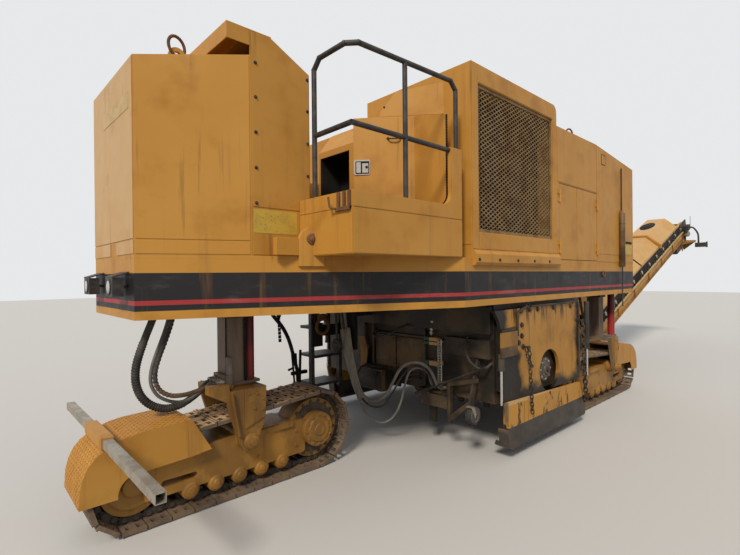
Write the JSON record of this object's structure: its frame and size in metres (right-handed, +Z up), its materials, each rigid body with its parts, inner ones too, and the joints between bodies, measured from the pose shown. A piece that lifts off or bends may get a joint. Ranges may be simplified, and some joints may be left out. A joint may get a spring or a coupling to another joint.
{
  "type": "cold planer milling machine",
  "caption": "Three-track cold planer with a toothed milling drum under its frame, a side operator platform, a mesh-fronted cooler and a covered rear loading conveyor.",
  "frame": {"origin": "on the ground, half-way along the machine, on its centreline", "axes": "+X along the machine towards the discharge conveyor, +Y towards the side away from the operator's platform, +Z up"},
  "size_m": [12.6315, 2.5772, 3.256],
  "materials": {
    "yellow_paint": "faded ochre yellow paint with rust and dirt streaks",
    "handrail_paint": "dark grey paint, worn",
    "mesh_steel": "rusty expanded mesh",
    "dark_metal": "dark, dusty",
    "oily_steel": "oily dark steel with dirt",
    "tool_steel": "rusty worn steel",
    "wheel_rubber": "matt",
    "column_steel": "grey-brown greased steel",
    "shoe_steel": "rusty brown shoes",
    "hose_rubber": "dusty hydraulic hose",
    "belt_rubber": "dusty matt rubber"
  },
  "bodies": {
    "chassis": {"main_frame": "yellow_paint", "deck_plate": "yellow_paint", "leg_sleeves": "oily_steel", "front_tower": "yellow_paint", "tower_housing": "yellow_paint", "air_scoop": "yellow_paint", "operator_platform": "yellow_paint", "handrail": "handrail_paint", "console": "yellow_paint", "water_tank": "yellow_paint", "cooler_housing": "yellow_paint", "cooler_mesh": "mesh_steel", "cooler_core": "dark_metal", "side_hood": "yellow_paint", "engine_hood": "yellow_paint", "engine_block": "dark_metal", "front_lamps": "handrail_paint", "ladder": "handrail_paint", "marker_tube": "yellow_paint", "drum_housing": "oily_steel", "side_plate_near": "yellow_paint", "side_plate_far": "yellow_paint", "grade_arm": "oily_steel", "hose_wide": "hose_rubber", "hose_wrapped": "hose_rubber", "hose_grey": "hose_rubber", "drum_hose_thick": "hose_rubber", "drum_hose_thin": "hose_rubber", "drum_hose_low": "hose_rubber", "primary_conveyor": "dark_metal", "conveyor_hitch": "yellow_paint"},
    "front_leg": {"front_column": "column_steel"},
    "front_crawler": {"front_yoke": "yellow_paint", "front_track": "shoe_steel", "front_track_frame": "yellow_paint", "front_fender": "yellow_paint", "bar_sleeve": "yellow_paint", "guide_bar": "handrail_paint"},
    "rear_crawler_near": {"rear_leg_near": "column_steel", "rear_track_near": "shoe_steel", "rear_track_frame_near": "yellow_paint", "rear_fender_near": "yellow_paint"},
    "rear_crawler_far": {"rear_leg_far": "column_steel", "rear_track_far": "shoe_steel", "rear_track_frame_far": "yellow_paint", "rear_fender_far": "yellow_paint"},
    "drum": {"cutting_drum": "tool_steel"},
    "scraper": {"moldboard": "oily_steel"},
    "edge_skid_near": {"skid_near": "yellow_paint"},
    "edge_skid_far": {"skid_far": "yellow_paint"},
    "sensor_wheel": {"grade_wheel": "wheel_rubber"},
    "door_nf": {"door_near_front": "yellow_paint"},
    "door_nr": {"door_near_rear": "yellow_paint"},
    "door_ff": {"door_far_front": "yellow_paint"},
    "door_fr": {"door_far_rear": "yellow_paint"},
    "conveyor_swing": {"conveyor_turntable": "yellow_paint"},
    "conveyor_boom": {"conveyor_frame": "yellow_paint", "conveyor_belt": "belt_rubber", "conveyor_covers": "yellow_paint", "conveyor_head": "dark_metal"}
  },
  "joints": [
    {"name": "front_lift", "type": "slide", "parent": "chassis", "child": "front_leg", "axis": [0, 0, 1], "range_m": [-0.25, 0.25], "deforming": ["hose_wide", "hose_wrapped", "hose_grey"]},
    {"name": "front_steer", "type": "hinge", "parent": "front_leg", "child": "front_crawler", "pos_m": [-5.2708, 0, 0.78], "axis": [0, 0, 1], "range_deg": [-25, 25]},
    {"name": "rear_lift_near", "type": "slide", "parent": "chassis", "child": "rear_crawler_near", "axis": [0, 0, 1], "range_m": [-0.25, 0.25]},
    {"name": "rear_lift_far", "type": "slide", "parent": "chassis", "child": "rear_crawler_far", "axis": [0, 0, 1], "range_m": [-0.25, 0.25]},
    {"name": "drum_spin", "type": "hinge", "parent": "chassis", "child": "drum", "pos_m": [-2.5688, 0, 0.675], "axis": [0, 1, 0], "continuous": true},
    {"name": "scraper_lift", "type": "slide", "parent": "chassis", "child": "scraper", "axis": [0, 0, 1], "range_m": [0, 0.25]},
    {"name": "skid_lift_near", "type": "slide", "parent": "chassis", "child": "edge_skid_near", "axis": [0, 0, 1], "range_m": [0, 0.2]},
    {"name": "skid_lift_far", "type": "slide", "parent": "chassis", "child": "edge_skid_far", "axis": [0, 0, 1], "range_m": [0, 0.2]},
    {"name": "sensor_wheel_spin", "type": "hinge", "parent": "chassis", "child": "sensor_wheel", "pos_m": [-3.6138, -1.05, 0.414], "axis": [0, 1, 0], "continuous": true},
    {"name": "door_near_front_hinge", "type": "hinge", "parent": "chassis", "child": "door_nf", "pos_m": [-2.3958, -1.255, 2.12], "axis": [0, 0, -1], "range_deg": [0, 110]},
    {"name": "door_near_rear_hinge", "type": "hinge", "parent": "chassis", "child": "door_nr", "pos_m": [-1.4618, -1.255, 2.12], "axis": [0, 0, 1], "range_deg": [0, 110]},
    {"name": "door_far_front_hinge", "type": "hinge", "parent": "chassis", "child": "door_ff", "pos_m": [-2.3958, 1.255, 2.12], "axis": [0, 0, 1], "range_deg": [0, 110]},
    {"name": "door_far_rear_hinge", "type": "hinge", "parent": "chassis", "child": "door_fr", "pos_m": [-1.4618, 1.255, 2.12], "axis": [0, 0, -1], "range_deg": [0, 110]},
    {"name": "conveyor_swing", "type": "hinge", "parent": "chassis", "child": "conveyor_swing", "pos_m": [0.2512, 0, 0.24], "axis": [0, 0, 1], "range_deg": [-25, 25]},
    {"name": "conveyor_raise", "type": "hinge", "parent": "conveyor_swing", "child": "conveyor_boom", "pos_m": [0.2512, 0, 0.56], "axis": [0, -1, 0], "range_deg": [-12, 8]}
  ]
}
